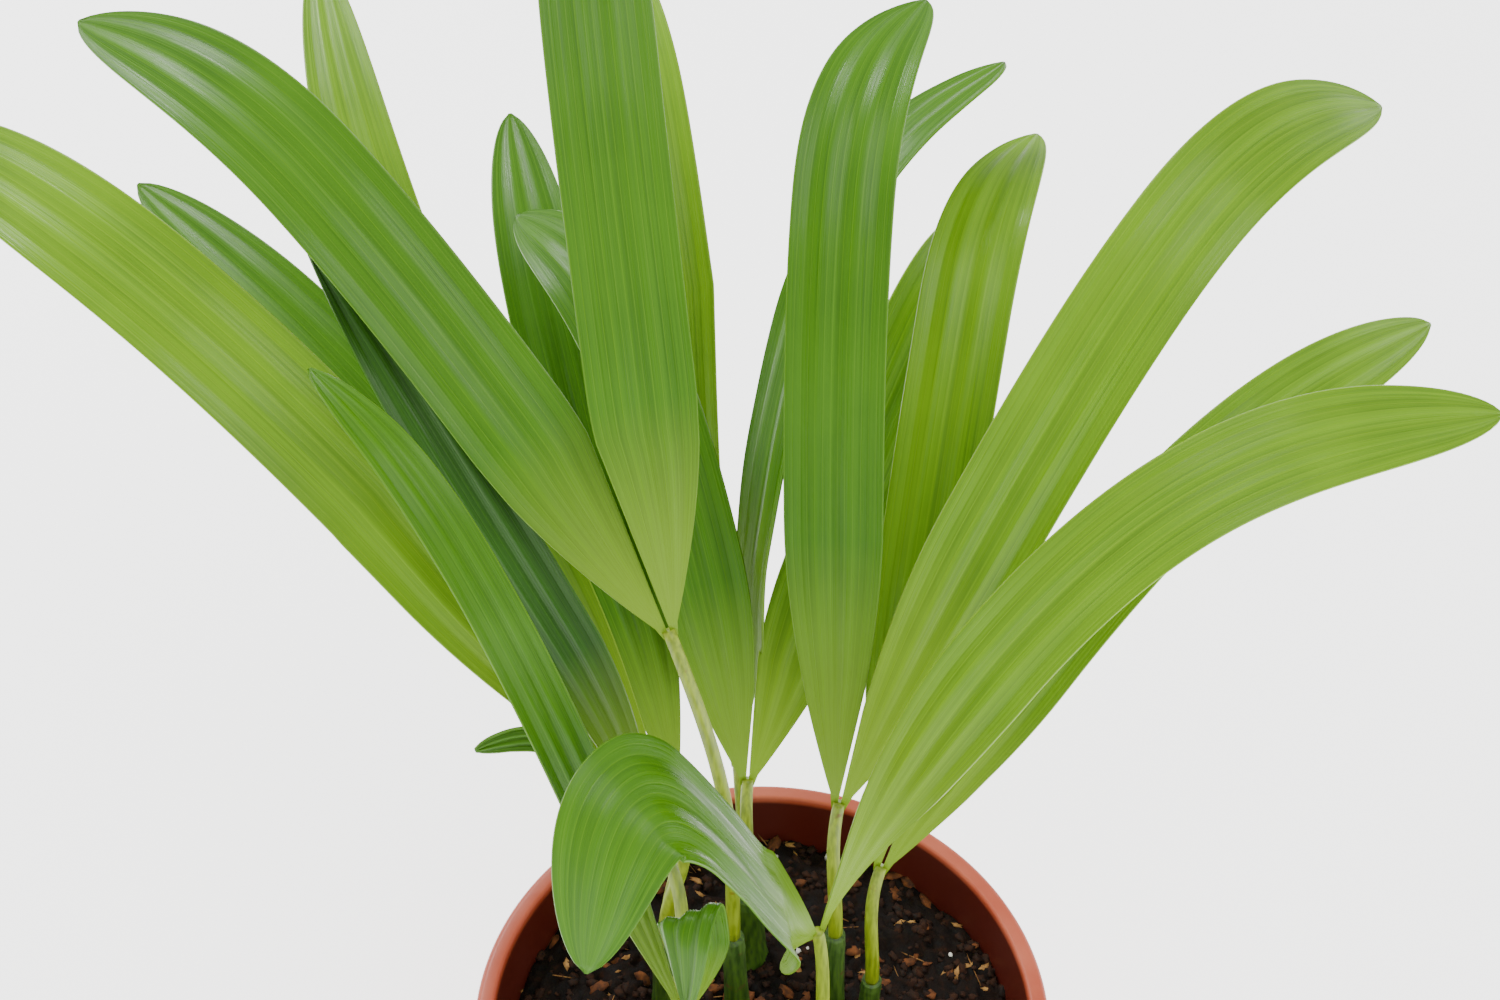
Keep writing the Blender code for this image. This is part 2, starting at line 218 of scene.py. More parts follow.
def linearColour(code):
    # Scene-linear RGBA of a hex colour
    channels = [int(code[i:i + 2], 16) / 255 for i in (1, 3, 5)]
    return tuple(c / 12.92 if c <= 0.04045 else ((c + 0.055) / 1.055) ** 2.4 for c in channels) + (1.0,)


def newMaterial(name):
    material = bpy.data.materials.new(name)
    material.use_nodes = True
    tree = material.node_tree
    return material, tree, tree.nodes["Principled BSDF"]


def addNode(tree, kind, settings=None, links=None):
    # One node with its settings, and what feeds each of its sockets
    node = tree.nodes.new(kind)
    for key, value in (settings or {}).items():
        if isinstance(key, int) or key in node.inputs:
            node.inputs[key].default_value = value
        else:
            setattr(node, key, value)
    for key, source in (links or {}).items():
        tree.links.new(source, node.inputs[key])
    return node


def objectPlace(tree):
    return addNode(tree, "ShaderNodeTexCoord").outputs["Object"]


def stretched(tree, place, scale):
    return addNode(tree, "ShaderNodeMapping", {"Scale": scale}, {"Vector": place}).outputs["Vector"]


def addNoise(tree, place, scale, detail, roughness=0.5):
    settings = {"Scale": scale, "Detail": detail, "Roughness": roughness}
    return addNode(tree, "ShaderNodeTexNoise", settings, {"Vector": place}).outputs["Fac"]


def addRamp(tree, source, stops):
    ramp = addNode(tree, "ShaderNodeValToRGB", links={"Fac": source})
    elements = ramp.color_ramp.elements
    while len(elements) > 1:
        elements.remove(elements[-1])
    elements[0].position, elements[0].color = stops[0]
    for place, colour in stops[1:]:
        elements.new(place).color = colour
    return ramp.outputs["Color"]


def colourRamp(tree, source, *stops):
    return addRamp(tree, source, [(place, linearColour(code)) for place, code in stops])


def greyRamp(tree, source, *stops):
    return addRamp(tree, source, [(place, (value, value, value, 1.0)) for place, value in stops])


def mixColours(tree, factor, under, over):
    # The colour socket `under`, covered with the hex colour `over` by the share in `factor`
    settings = {"data_type": "RGBA", 7: linearColour(over)}
    return addNode(tree, "ShaderNodeMix", settings, {0: factor, 6: under}).outputs[2]


def feedShader(tree, shader, colour, roughness):
    tree.links.new(colour, shader.inputs["Base Color"])
    tree.links.new(roughness, shader.inputs["Roughness"])


def addBump(tree, shader, height, strength, distance):
    settings = {"Strength": strength, "Distance": distance}
    bump = addNode(tree, "ShaderNodeBump", settings, {"Height": height})
    tree.links.new(bump.outputs["Normal"], shader.inputs["Normal"])


# Palm blade, waxy on top: veins run its length, every second one paler, with dry streaks of gloss
# The three finishes are one blade colour painted at three strengths of light: lit, half shaded and shaded
bladeFinishes = {
    "painted lit blade": {"deep": "#416c00", "light": "#74a200", "vein": "#8cb01c"},
    "painted half shade blade": {"deep": "#285400", "light": "#4c8000", "vein": "#6a9818"},
    "painted shade blade": {"deep": "#153a00", "light": "#2e6000", "vein": "#4c7c12"},
}
bladeSkin = {
    "foot": "#9dba2e",
    "paleVeins": 13,
    "inputs": {"IOR": 1.45, "Specular IOR Level": 0.28, "Coat Weight": 0.06, "Coat Roughness": 0.25},
}


def makeBladeFinish(name, colours):
    material, tree, shader = newMaterial(name)
    place = addNode(tree, "ShaderNodeUVMap", {"uv_map": "alongBlade"}).outputs["UV"]
    axes = addNode(tree, "ShaderNodeSeparateXYZ", links={"Vector": place}).outputs
    streak = addNoise(tree, stretched(tree, place, (26.0, 1.6, 1.0)), scale=1.0, detail=4.0, roughness=0.6)
    gloss = addNoise(tree, stretched(tree, place, (90.0, 5.0, 1.0)), scale=1.0, detail=5.0)
    cloud = addNoise(tree, objectPlace(tree), scale=38.0, detail=3.0)
    turns = {"operation": "MULTIPLY", 1: bladeSkin["paleVeins"] * math.tau}
    phase = addNode(tree, "ShaderNodeMath", turns, {0: axes["X"]}).outputs[0]
    vein = addNode(tree, "ShaderNodeMath", {"operation": "COSINE"}, {0: phase}).outputs[0]
    body = colourRamp(tree, streak, (0.20, colours["deep"]), (0.80, colours["light"]))
    body = mixColours(tree, greyRamp(tree, cloud, (0.4, 0.0), (0.7, 0.45)), body, colours["light"])
    body = mixColours(tree, greyRamp(tree, vein, (0.90, 0.0), (1.0, 0.32)), body, colours["vein"])
    body = mixColours(tree, greyRamp(tree, axes["Y"], (0.0, 0.5), (0.22, 0.0)), body, bladeSkin["foot"])
    rough = greyRamp(tree, gloss, (0.36, 0.20), (0.48, 0.42), (0.80, 0.56))
    feedShader(tree, shader, body, rough)
    addBump(tree, shader, gloss, strength=0.35, distance=0.0002)
    for socket, value in bladeSkin["inputs"].items():
        shader.inputs[socket].default_value = value
    return material


# Smooth stem skin with fine lengthwise fibres and a few brown marks
stemFinishes = {
    "yellow green stalk": {"dark": "#6b7f08", "light": "#8fa31a", "mark": "#6a4c18", "roughness": 0.45},
    "dark green sheath": {"dark": "#26450a", "light": "#47691a", "mark": "#5b4020", "roughness": 0.55},
}


def makeStemFinish(name, skin):
    material, tree, shader = newMaterial(name)
    place = objectPlace(tree)
    fibre = addNoise(tree, stretched(tree, place, (1.0, 1.0, 0.12)), scale=1400.0, detail=3.0)
    spots = addNoise(tree, place, scale=260.0, detail=2.0)
    colour = colourRamp(tree, fibre, (0.35, skin["dark"]), (0.65, skin["light"]))
    marks = greyRamp(tree, spots, (0.66, 0.0), (0.74, 0.8))
    rough = greyRamp(tree, fibre, (0.3, skin["roughness"] - 0.08), (0.7, skin["roughness"] + 0.1))
    feedShader(tree, shader, mixColours(tree, marks, colour, skin["mark"]), rough)
    addBump(tree, shader, fibre, strength=0.3, distance=0.0002)
    return material


# Moulded plastic with a little dust on it, darker inside the wall with painted shade
potSkin = {"shadow": "#b1482e", "shell": "#c25f43", "paintedInnerShade": "#5a1c12"}


def makePotFinish():
    material, tree, shader = newMaterial("moulded terracotta plastic")
    place = objectPlace(tree)
    grain = addNoise(tree, place, scale=900.0, detail=4.0)
    dust = addNoise(tree, place, scale=60.0, detail=6.0)
    shell = colourRamp(tree, dust, (0.35, potSkin["shadow"]), (0.70, potSkin["shell"]))
    # Painted shade: the inside of the wall below the lip takes a dark colour that stands for the shadow in
    # the pot
    inside = addNode(tree, "ShaderNodeAttribute", {"attribute_name": "insideWall"}).outputs["Fac"]
    rough = greyRamp(tree, dust, (0.3, 0.36), (0.7, 0.55))
    feedShader(tree, shader, mixColours(tree, inside, shell, potSkin["paintedInnerShade"]), rough)
    addBump(tree, shader, grain, strength=0.15, distance=0.0001)
    return material


# Moist dark peat with paler fibrous crumbs
soilSkin = {"wet": "#070302", "peat": "#1a0e08", "crumb": "#3c2012", "patch": "#241208", "specular": 0.2}


def makeSoilFinish():
    material, tree, shader = newMaterial("moist peat")
    place = objectPlace(tree)
    crumb = addNoise(tree, place, scale=420.0, detail=8.0)
    patch = addNoise(tree, place, scale=90.0, detail=4.0)
    dark = colourRamp(
        tree, crumb, (0.38, soilSkin["wet"]), (0.60, soilSkin["peat"]), (0.80, soilSkin["crumb"])
    )
    patches = greyRamp(tree, patch, (0.5, 0.0), (0.75, 0.4))
    rough = greyRamp(tree, crumb, (0.3, 0.7), (0.7, 0.98))
    feedShader(tree, shader, mixColours(tree, patches, dark, soilSkin["patch"]), rough)
    addBump(tree, shader, crumb, strength=0.9, distance=0.0009)
    shader.inputs["Specular IOR Level"].default_value = soilSkin["specular"]
    return material


def makeBitFinish(name, kind):
    material, tree, shader = newMaterial(name)
    grain = addNoise(tree, objectPlace(tree), scale=700.0, detail=5.0)
    colour = colourRamp(tree, grain, (0.3, kind["dark"]), (0.7, kind["light"]))
    feedShader(tree, shader, colour, greyRamp(tree, grain, (0.3, 0.7), (0.7, 0.95)))
    shader.inputs["Specular IOR Level"].default_value = 0.25
    return material


finishes = {name: makeBladeFinish(name, colours) for name, colours in bladeFinishes.items()}
finishes.update({name: makeStemFinish(name, skin) for name, skin in stemFinishes.items()})
print("stage: finishes made")


def lobePoint(fork, lobe, t):
    # The lobe's midline at the share `t` of its way from the fork to its tip
    bearing = math.radians(lobe["bearing"])
    out = Vector((math.cos(bearing), math.sin(bearing), 0.0))
    aside = Vector((-out.y, out.x, 0.0))
    bow = math.sin(math.pi * t ** (math.log(0.5) / math.log(lobe.get("crest", 0.5))))
    up = Vector((0.0, 0.0, lobe["rise"] * t + lobe["arch"] * bow))
    return fork + out * lobe["reach"] * t + aside * lobe.get("sweep", 0.0) * bow + up


def lobeHeading(fork, lobe, t):
    step = 0.01
    low, high = max(t - step, 0.0), min(t + step, 1.0)
    return (lobePoint(fork, lobe, high) - lobePoint(fork, lobe, low)).normalized()


def forkFrame(plan):
    # The fork, and its directions across, forward between its lobes and out of its upper face
    fork = Vector(plan["fork"])
    forward = lobeHeading(fork, plan["left"], 0.0) + lobeHeading(fork, plan["right"], 0.0)
    forward.normalize()
    facing = math.radians(plan["facing"])
    face = Vector((math.cos(facing), math.sin(facing), 0.0))
    face = (face - forward * face.dot(forward)).normalized()
    return fork, forward.cross(face), forward, face


bladeShape = {
    "rows": 80,
    "strips": 48,
    "pleats": 6,
    "pleatDepth": 0.0009,
    "pleatCrease": 0.96,
    "veins": 26,
    "veinDepth": 0.00011,
    "waveDepth": 0.0003,
    "wavesAcross": 3.0,
    "wavesAlong": 9.0,
    "thickness": 0.00045,
    "footWidth": 0.0016,
    "partedBy": 0.0004,
    "sunk": 0.0012,
    "tipWidth": 0.0006,
    "spread": 0.24,
    "spreadPower": 0.9,
    "taperStart": 0.55,
    "taperPower": 2.6,
    "taperRoot": 0.62,
    "rollShare": 0.16,
    "swellShare": 0.15,
    "leastSlant": 0.02,
}


def bladeHalfWidth(lobe, t):
    # Half the blade's width, and how far its middle stands aside there
    shape = bladeShape
    widened = min(1.0, t / lobe.get("spread", shape["spread"]))
    spread = math.sin(math.pi / 2 * widened) ** shape["spreadPower"]
    start = shape["taperStart"]
    fall = max(0.0, (t - start) / (1.0 - start))
    half = lobe["width"] / 2 * spread * (1.0 - fall ** shape["taperPower"]) ** shape["taperRoot"]
    half = max(half, shape["footWidth" if t < 0.5 else "tipWidth"] / 2)
    return half, lobe.get("tipSide", 0.0) * lobe["width"] / 2 * fall**2


def bladeLift(lobe, t, u, swell):
    # Height of the pleats, the veins and a slow wave over the blade's plain surface
    shape = bladeShape
    crease = shape["pleatCrease"] * math.cos(math.tau * shape["pleats"] / 2 * u)
    fold = math.acos(crease) / math.pi * 2 - 1
    ridge = math.cos(math.tau * shape["veins"] * u)
    lift = -fold * shape["pleatDepth"] / 2 * swell + ridge * shape["veinDepth"] * swell
    place = Vector((u * shape["wavesAcross"], t * shape["wavesAlong"], lobe["bearing"]))
    return lift + shape["waveDepth"] * noise.noise(place) * swell


def makeBlade(name, plan, lobe, side):
    # A pleated blade, fine enough to carry its veins, kept on its own side of the fork's middle plane
    shape = bladeShape
    fork, across, forward, normal = forkFrame(plan)
    start = across * side * shape["partedBy"] - forward * shape["sunk"]
    rows, strips = shape["rows"], shape["strips"]
    mesh = bmesh.new()
    uvMap = mesh.loops.layers.uv.new("alongBlade")
    grid = []
    for i in range(rows + 1):
        t = i / rows
        heading = lobeHeading(fork, lobe, t)
        normal = (normal - heading * normal.dot(heading)).normalized()
        settle = min(1.0, t / shape["rollShare"])
        angle = math.radians(lobe.get("roll", 0) * settle**2 * (3 - 2 * settle) + lobe.get("twist", 0) * t)
        upper = Matrix.Rotation(angle, 3, heading) @ normal
        aside = heading.cross(upper)
        centre = lobePoint(fork, lobe, t) + start
        half, shift = bladeHalfWidth(lobe, t)
        left, right = half - shift, half + shift
        slant = aside.dot(across)
        if slant > shape["leastSlant"]:
            room = ((centre - fork).dot(across) * side - clearance / 2) / slant
            left = min(left, room) if side > 0 else left
            right = min(right, room) if side < 0 else right
        swell = min(1.0, t / shape["swellShare"]) * min(1.0, 2 * half / lobe["width"])
        row = []
        for k in range(strips + 1):
            u = k / strips
            lift = bladeLift(lobe, t, u, swell)
            row.append(centre + aside * (-left + (left + right) * u) + upper * lift)
        nearest = min((point - fork).dot(across) * side for point in row)
        short = max(0.0, clearance - nearest)
        grid.append([mesh.verts.new(point + across * side * short) for point in row])
    for i in range(rows):
        for k in range(strips):
            quad = mesh.faces.new((grid[i][k], grid[i][k + 1], grid[i + 1][k + 1], grid[i + 1][k]))
            spots = ((k, i), (k + 1, i), (k + 1, i + 1), (k, i + 1))
            for loop, (a, b) in zip(quad.loops, spots):
                loop[uvMap].uv = (a / strips, b / rows)
    blade = finishMesh(name, mesh)
    shell = blade.modifiers.new("blade thickness", "SOLIDIFY")
    shell.thickness = shape["thickness"]
    shell.offset = 0.0
    return applied(blade)


def finishMesh(name, mesh):
    data = bpy.data.meshes.new(name)
    mesh.normal_update()
    mesh.to_mesh(data)
    mesh.free()
    data.shade_smooth()
    piece = bpy.data.objects.new(name, data)
    bpy.context.scene.collection.objects.link(piece)
    return piece


def applied(piece):
    # The piece as a plain mesh, with its modifiers worked in
    graph = bpy.context.evaluated_depsgraph_get()
    data = bpy.data.meshes.new_from_object(piece.evaluated_get(graph))
    piece.modifiers.clear()
    old = piece.data
    piece.data = data
    bpy.data.meshes.remove(old)
    return piece


def standFor(piece, slotName, *nodes):
    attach(piece, "root")
    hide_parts(*nodes)


def dress(piece, material, slotName, *nodes):
    piece.data.materials.clear()
    piece.data.materials.append(material)
    standFor(piece, slotName, *nodes)


def ringPoint(radius, k, sides):
    angle = math.tau * k / sides
    return radius * math.cos(angle), radius * math.sin(angle)


def skinRings(name, mesh, rings):
    # Closes a row of rings, all with the same number of points, into one skin
    sides = len(rings[0])
    for lower, upper in zip(rings, rings[1:]):
        for k in range(sides):
            j = (k + 1) % sides
            mesh.faces.new((lower[k], lower[j], upper[j], upper[k]))
    mesh.faces.new(list(reversed(rings[0])))
    mesh.faces.new(rings[-1])
    return finishMesh(name, mesh)


def makeTube(name, points, radii, sides, ribDepth, levelTop=False):
    # A tube along the points, with one low rib to every four of its sides
    mesh = bmesh.new()
    rings = []
    across = Vector((1.0, 0.0, 0.0))
    for i, point in enumerate(points):
        along = (points[min(i + 1, len(points) - 1)] - points[max(i - 1, 0)]).normalized()
        if i == 0 or (levelTop and i == len(points) - 1):
            along = Vector((0.0, 0.0, 1.0))
        across = (across - along * across.dot(along)).normalized()
        other = along.cross(across)
        ring = []
        for k in range(sides):
            angle = math.tau * k / sides
            radius = radii[i] * (1.0 + ribDepth * math.cos(angle * sides / 4))
            outward = across * math.cos(angle) + other * math.sin(angle)
            ring.append(mesh.verts.new(point + outward * radius))
        rings.append(ring)
    return skinRings(name, mesh, rings)


# A sheath stands a little way into the soil and ends in a thicker collar. Where it carries two fronds,
# their stalks stand apart by twice `twinSpread`.
stemShape = {
    "sides": 32,
    "steps": 40,
    "sunk": 0.003,
    "flare": 0.35,
    "footShare": 0.97,
    "taper": 0.10,
    "collarSwell": 0.05,
    "collarPlace": 0.88,
    "collarSpan": 0.035,
    "ribDepth": 0.02,
    "twinSpread": 0.0021,
}
stalkShape = {
    "sides": 20,
    "steps": 48,
    "footRadius": 0.0015,
    "tipRadius": 0.0012,
    "ribDepth": 0.03,
    "footPull": 0.4,
    "forkPull": 0.3,
}


def makeStem(name, plan):
    shape = stemShape
    foot = Vector((*plan["foot"], soilTop - shape["sunk"]))
    top = Vector(plan["top"])
    points, radii = [], []
    for i in range(shape["steps"] + 1):
        t = i / shape["steps"]
        flare = 1.0 + shape["flare"] * (1.0 - t) ** 4
        collar = shape["collarSwell"] * math.exp(-((t - shape["collarPlace"]) / shape["collarSpan"]) ** 2)
        points.append(foot.lerp(top, t))
        radii.append(plan["radius"] * flare * (shape["footShare"] - shape["taper"] * t + collar))
    return makeTube(name, points, radii, shape["sides"], shape["ribDepth"], levelTop=True)


def makeStalk(name, plan, foot):
    # Rises straight out of its stem and bends over to enter the fork between its lobes
    shape = stalkShape
    fork, _, forward, _ = forkFrame(plan)
    span = (fork - foot).length
    rising = foot + Vector((0.0, 0.0, span * shape["footPull"]))
    bends = [foot, rising, fork - forward * span * shape["forkPull"], fork]
    points, radii = [], []
    for i in range(shape["steps"] + 1):
        t = i / shape["steps"]
        weights = ((1 - t) ** 3, 3 * t * (1 - t) ** 2, 3 * t * t * (1 - t), t**3)
        points.append(sum((bend * w for bend, w in zip(bends, weights)), Vector()))
        radii.append(shape["footRadius"] + (shape["tipRadius"] - shape["footRadius"]) * t)
    return makeTube(name, points, radii, shape["sides"], shape["ribDepth"])


# The finish of each frond's left and right blade, painted lit, half shaded or shaded by where the light
# falls on it
bladeTones = {
    "tall_frond": ("painted half shade blade", "painted half shade blade"),
    "back_frond": ("painted lit blade", "painted half shade blade"),
    "inner_frond": ("painted half shade blade", "painted lit blade"),
    "far_left_frond": ("painted lit blade", "painted lit blade"),
    "upper_left_frond": ("painted half shade blade", "painted half shade blade"),
    "left_frond": ("painted half shade blade", "painted shade blade"),
    "low_left_frond": ("painted half shade blade", "painted half shade blade"),
    "upright_frond": ("painted half shade blade", "painted lit blade"),
    "right_frond": ("painted lit blade", "painted lit blade"),
    "near_frond": ("painted half shade blade", "painted lit blade"),
    "front_left_frond": ("painted half shade blade", "painted lit blade"),
    "front_right_frond": ("painted lit blade", "painted half shade blade"),
}

for frondName, plan in frondPlans.items():
    for tone, (part, side) in zip(bladeTones[frondName], (("left", -1), ("right", 1))):
        node = frondName + "_" + part + "_lobe"
        blade = makeBlade(node + "_blade", plan, plan[part], side)
        nodes = [node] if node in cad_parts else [node + "_lower", node + "_upper"]
        dress(blade, finishes[tone], "leaf", *nodes)
print("stage: blades done")

for stemName, stemPlan in stemPlans.items():
    dress(makeStem(stemName + "_sheath", stemPlan), finishes["dark green sheath"], "sheath", stemName)
    names = stemPlan["fronds"]
    for i, frondName in enumerate(names):
        foot = Vector(stemPlan["top"]) + Vector((0.0, 0.0, clearance))
        if len(names) > 1:
            away = Vector(frondPlans[frondName]["fork"]) - Vector(frondPlans[names[1 - i]]["fork"])
            away.z = 0.0
            foot += away.normalized() * stemShape["twinSpread"]
        stalk = makeStalk(frondName + "_rib", frondPlans[frondName], foot)
        dress(stalk, finishes["yellow green stalk"], "stalk", frondName + "_stalk")
print("stage: stems done")

# `wallRings` are the heights at which the inside of the wall has an edge, from the lip down
potShape = {
    "height": 0.108,
    "rimRadius": 0.060,
    "bandHeight": 0.009,
    "roll": 0.0014,
    "rimStep": 0.0022,
    "footRadius": 0.043,
    "footBend": 0.0015,
    "bandBend": 0.0007,
    "lipBend": 0.0009,
    "bendSteps": 6,
    "wall": 0.0018,
    "wallSteps": 12,
    "wallRings": (0.1064, 0.1060, 0.09, 0.06, 0.03),
    "floor": 0.0022,
    "sides": 160,
    "drains": 8,
    "drainRadius": 0.0035,
    "drainCircle": 0.030,
    "drainSides": 28,
    "sharpAngle": 35,
}


def wallRadius(height):
    low, high = potShape["footRadius"], potShape["rimRadius"] - potShape["rimStep"]
    return low + (high - low) * height / potShape["height"]


def roundedBend(centre, radius, fromAngle, toAngle):
    bend = []
    for i in range(potShape["bendSteps"] + 1):
        angle = math.radians(fromAngle + (toAngle - fromAngle) * i / potShape["bendSteps"])
        bend.append((centre[0] + radius * math.cos(angle), centre[1] + radius * math.sin(angle)))
    return bend


def potProfile():
    # Pairs of radius and height, from the underside's edge out, over the rim and down the inside
    shape = potShape
    top, rim, bandFoot = shape["height"], shape["rimRadius"], shape["height"] - shape["bandHeight"]
    inner = wallRadius(top) - shape["wall"]
    foot, band, roll, lip = shape["footBend"], shape["bandBend"], shape["roll"], shape["lipBend"]
    heights = [bandFoot * i / shape["wallSteps"] for i in range(1, shape["wallSteps"] + 1)]
    profile = roundedBend((shape["footRadius"] - foot, foot), foot, -90, -10)
    profile += [(wallRadius(h), h) for h in heights]
    profile += roundedBend((rim - band, bandFoot + band), band, -90, 0)
    profile += roundedBend((rim - roll, top - roll), roll, 0, 90)
    profile += roundedBend((inner + lip, top - lip), lip, 90, 180)
    profile += [(wallRadius(h) - shape["wall"], h) for h in (*shape["wallRings"], shape["floor"])]
    return profile


def makePot():
    shape = potShape
    mesh = bmesh.new()
    rings = []
    for radius, height in potProfile():
        ring = [(*ringPoint(radius, k, shape["sides"]), height) for k in range(shape["sides"])]
        rings.append([mesh.verts.new(point) for point in ring])
    pot = skinRings("moulded_pot", mesh, rings)
    cutter = bmesh.new()
    for i in range(shape["drains"]):
        angle = math.tau * (i + 0.5) / shape["drains"]
        centre = Vector((math.cos(angle), math.sin(angle), 0.0)) * shape["drainCircle"]
        bmesh.ops.create_cone(
            cutter, cap_ends=True, segments=shape["drainSides"], radius1=shape["drainRadius"],
            radius2=shape["drainRadius"], depth=shape["floor"] * 4, matrix=Matrix.Translation(centre),
        )
    drains = finishMesh("drain cutter", cutter)
    holes = pot.modifiers.new("drain holes", "BOOLEAN")
    holes.operation = "DIFFERENCE"
    holes.object = drains
    applied(pot)
    bpy.data.objects.remove(drains)
    pot.data.shade_smooth()
    pot.data.set_sharp_from_angle(angle=math.radians(shape["sharpAngle"]))
    # Marks the inside of the wall below the lip, where the finish paints shade
    inside = pot.data.attributes.new("insideWall", "FLOAT", "POINT")
    for vertex in pot.data.vertices:
        reach = math.hypot(vertex.co.x, vertex.co.y)
        within = reach < wallRadius(vertex.co.z) - shape["wall"] * 0.6
        below = vertex.co.z < shape["height"] - shape["roll"]
        inside.data[vertex.index].value = 1.0 if within and below else 0.0
    return pot


dress(makePot(), makePotFinish(), "pot_plastic", "pot")
print("stage: pot done")

# The soil is level out to `flatRadius` and falls by `edgeDrop` to the wall
soilShape = {
    "rings": 70,
    "sides": 200,
    "edgeHeight": 0.094,
    "edgeDrop": 0.002,
    "flatRadius": 0.042,
    "wallRings": (0.06, 0.03),
    "lumps": {"depth": 0.0026, "layer": 0.3, "fineness": 120},
    "crumbs": {"depth": 0.0020, "layer": 1.7, "fineness": 420},
    "grit": {"depth": 0.0010, "layer": 4.1, "fineness": 1100},
}


def soilRelief(name, x, y):
    relief = soilShape[name]
    return relief["depth"] * noise.noise(Vector((x, y, relief["layer"])) * relief["fineness"])


def soilHeight(x, y):
    flat = soilShape["flatRadius"]
    slope = max(0.0, (math.hypot(x, y) - flat) / (wallRadius(soilShape["edgeHeight"]) - flat))
    crumbs = soilRelief("crumbs", x, y) + soilRelief("grit", x, y)
    return soilTop - soilShape["edgeDrop"] * slope + soilRelief("lumps", x, y) + crumbs


def makeSoil():
    mesh = bmesh.new()
    edge = wallRadius(soilShape["edgeHeight"]) - potShape["wall"] - clearance
    sides = soilShape["sides"]
    hub = mesh.verts.new((0.0, 0.0, soilHeight(0.0, 0.0)))
    rings = []
    for i in range(1, soilShape["rings"] + 1):
        spots = [ringPoint(edge * i / soilShape["rings"], k, sides) for k in range(sides)]
        rings.append([mesh.verts.new((x, y, soilHeight(x, y))) for x, y in spots])
    for height in (*soilShape["wallRings"], potShape["floor"] + clearance):
        reach = wallRadius(height) - potShape["wall"] - clearance
        rings.append([mesh.verts.new((*ringPoint(reach, k, sides), height)) for k in range(sides)])
    for k in range(sides):
        mesh.faces.new((hub, rings[0][k], rings[0][(k + 1) % sides]))
    for inner, outer in zip(rings, rings[1:]):
        for k in range(sides):
            j = (k + 1) % sides
            mesh.faces.new((inner[k], outer[k], outer[j], inner[j]))
    mesh.faces.new(list(reversed(rings[-1])))
    return finishMesh("peat_soil", mesh)


soil = makeSoil()
dress(soil, makeSoilFinish(), "potting_soil", "soil")

# Loose crumbs: `size` is about half the length of the largest, `density` how many lie on a square metre
bitKinds = {
    "peat_clods": {
        "stretch": (1.0, 0.8, 0.6), "size": 0.0015, "density": 90000, "seed": 5,
        "dark": "#0d0603", "light": "#3a2012",
    },
    "bark_chips": {
        "stretch": (1.0, 0.55, 0.28), "size": 0.0026, "density": 16000, "seed": 3,
        "dark": "#2c160a", "light": "#7c4826",
    },
    "pale_wood_crumbs": {
        "stretch": (1.0, 0.45, 0.35), "size": 0.0016, "density": 14000, "seed": 8,
        "dark": "#7a5128", "light": "#b98c54",
    },
    "perlite_grains": {
        "stretch": (1.0, 0.9, 0.8), "size": 0.0010, "density": 3000, "seed": 12,
        "dark": "#bdb8ac", "light": "#efece4",
    },
    "coir_fibres": {
        "stretch": (1.0, 0.030, 0.030), "size": 0.0060, "density": 6000, "seed": 21,
        "dark": "#5b3818", "light": "#a97b48",
    },
}
bitShape = {"lumpDepth": 0.7, "lumpFineness": 2.1, "leastUp": 0.3, "tilt": 0.5, "leastSize": 0.35}


def makeBit(name, stretch, seed):
    mesh = bmesh.new()
    bmesh.ops.create_icosphere(mesh, subdivisions=2, radius=1.0)
    for vertex in mesh.verts:
        spot = vertex.co * bitShape["lumpFineness"] + Vector((seed, 0.0, 0.0))
        rough = 1.0 + bitShape["lumpDepth"] * noise.noise(spot)
        vertex.co = Vector(vertex.co[i] * stretch[i] for i in range(3)) * rough
    return finishMesh(name, mesh)


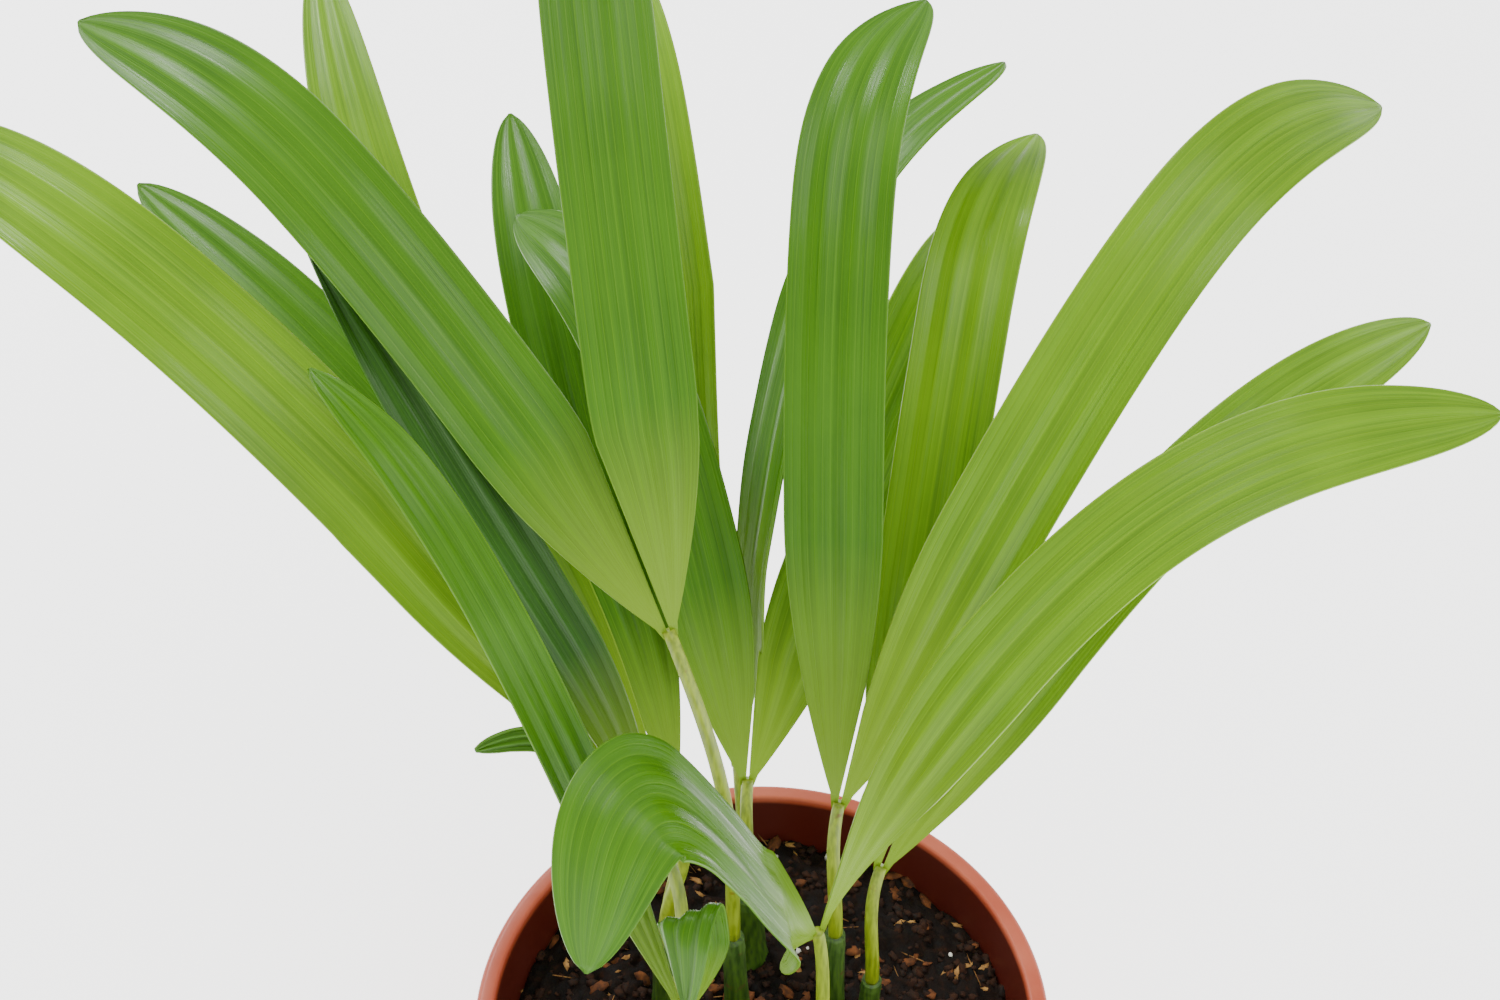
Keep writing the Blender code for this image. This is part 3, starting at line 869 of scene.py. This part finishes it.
def scatterBits(name, kind, ground):
    # Lays copies of one crumb over the soil's top with a fixed seed
    tree = bpy.data.node_groups.new(name, "GeometryNodeTree")
    sockets = {"Ground": "Geometry", "Density": "Float", "Size": "Float", "Crumb": "Object"}
    for label, sort in sockets.items():
        tree.interface.new_socket(label, in_out="INPUT", socket_type="NodeSocket" + sort)
    tree.interface.new_socket("Bits", in_out="OUTPUT", socket_type="NodeSocketGeometry")
    entry = tree.nodes.new("NodeGroupInput").outputs
    normal = addNode(tree, "GeometryNodeInputNormal").outputs["Normal"]
    up = addNode(tree, "ShaderNodeSeparateXYZ", links={"Vector": normal}).outputs["Z"]
    steepest = {"operation": "GREATER_THAN", "B": bitShape["leastUp"]}
    topOnly = addNode(tree, "FunctionNodeCompare", steepest, {"A": up}).outputs["Result"]
    spread = addNode(
        tree, "GeometryNodeDistributePointsOnFaces", {"Seed": kind["seed"]},
        {"Mesh": entry["Ground"], "Density": entry["Density"], "Selection": topOnly},
    ).outputs["Points"]
    crumb = addNode(tree, "GeometryNodeObjectInfo", links={"Object": entry["Crumb"]}).outputs["Geometry"]
    turns = addNode(tree, "FunctionNodeRandomValue", {"data_type": "FLOAT_VECTOR", "Seed": kind["seed"]})
    turns.inputs["Min"].default_value = (-bitShape["tilt"], -bitShape["tilt"], 0.0)
    turns.inputs["Max"].default_value = (bitShape["tilt"], bitShape["tilt"], math.tau)
    growth = addNode(tree, "FunctionNodeRandomValue", {
        "data_type": "FLOAT", "Seed": kind["seed"] + 1, 2: bitShape["leastSize"], 3: 1.0,
    }).outputs[1]
    times = {0: growth, 1: entry["Size"]}
    size = addNode(tree, "ShaderNodeMath", {"operation": "MULTIPLY"}, times).outputs[0]
    laid = addNode(tree, "GeometryNodeInstanceOnPoints", links={
        "Points": spread, "Instance": crumb, "Rotation": turns.outputs["Value"], "Scale": size,
    }).outputs["Instances"]
    real = addNode(tree, "GeometryNodeRealizeInstances", links={"Geometry": laid}).outputs["Geometry"]
    finish = {"Material": makeBitFinish(name, kind)}
    coated = addNode(tree, "GeometryNodeSetMaterial", finish, {"Geometry": real}).outputs["Geometry"]
    tree.links.new(coated, tree.nodes.new("NodeGroupOutput").inputs["Bits"])
    crumbObject = makeBit(name + "_crumb", kind["stretch"], kind["seed"])
    bits = bpy.data.objects.new(name, ground.data.copy())
    bpy.context.scene.collection.objects.link(bits)
    scatter = bits.modifiers.new("scatter", "NODES")
    scatter.node_group = tree
    values = {"Density": kind["density"], "Size": kind["size"], "Crumb": crumbObject}
    for socket in tree.interface.items_tree:
        if socket.in_out == "INPUT" and socket.name in values:
            scatter[socket.identifier] = values[socket.name]
    applied(bits)
    bpy.data.objects.remove(crumbObject)
    return bits


for bitName, kind in bitKinds.items():
    bits = scatterBits(bitName, kind, soil)
    standFor(bits, "potting_soil", "soil")
    print("stage:", bitName, len(bits.data.polygons))

studio = {
    "floor": {"halfSize": 4.0, "colour": "#fbfbfb", "roughness": 0.9, "glow": 2.0},
    "air": 1.0,
    "lamps": {
        "window soft box": {
            "place": (-0.55, 0.75, 1.0), "target": (-0.06, 0.05, 0.24), "size": (0.5, 0.35), "power": 12,
        },
        "overhead soft box": {
            "place": (0.4, -0.5, 1.4), "target": (0, 0.05, 0.15), "size": (1.0, 1.0), "power": 12,
        },
    },
    "camera": {"place": (-0.0025, -0.3313, 0.6486), "down": 48.7, "lens": 72, "sensor": 36, "near": 0.01},
}
white = (1.0, 1.0, 1.0, 1.0)


def makeFloor(paper):
    mesh = bmesh.new()
    bmesh.ops.create_grid(mesh, x_segments=1, y_segments=1, size=paper["halfSize"])
    floor = finishMesh("studio_floor", mesh)
    material, _, shader = newMaterial("white studio paper")
    shader.inputs["Base Color"].default_value = linearColour(paper["colour"])
    shader.inputs["Roughness"].default_value = paper["roughness"]
    shader.inputs["Emission Color"].default_value = white
    shader.inputs["Emission Strength"].default_value = paper["glow"]
    floor.data.materials.append(material)


def addLamp(name, plan):
    lamp = bpy.data.lights.new(name, "AREA")
    lamp.shape = "RECTANGLE"
    lamp.size, lamp.size_y = plan["size"]
    lamp.energy = plan["power"]
    holder = bpy.data.objects.new(name, lamp)
    holder.location = plan["place"]
    aim = Vector(plan["target"]) - Vector(plan["place"])
    holder.rotation_euler = aim.to_track_quat("-Z", "Y").to_euler()
    bpy.context.scene.collection.objects.link(holder)


def addCamera(plan):
    camera = bpy.data.objects.new("photo camera", bpy.data.cameras.new("photo camera"))
    camera.location = plan["place"]
    camera.rotation_euler = (math.radians(90 - plan["down"]), 0.0, 0.0)
    camera.data.lens = plan["lens"]
    camera.data.sensor_width = plan["sensor"]
    camera.data.clip_start = plan["near"]
    bpy.context.scene.collection.objects.link(camera)
    bpy.context.scene.camera = camera


makeFloor(studio["floor"])
world = bpy.data.worlds.new("studio air")
bpy.context.scene.world = world
world.use_nodes = True
world.node_tree.nodes["Background"].inputs["Color"].default_value = white
world.node_tree.nodes["Background"].inputs["Strength"].default_value = studio["air"]
for lampName, lampPlan in studio["lamps"].items():
    addLamp(lampName, lampPlan)
addCamera(studio["camera"])
print("stage: light and camera set")
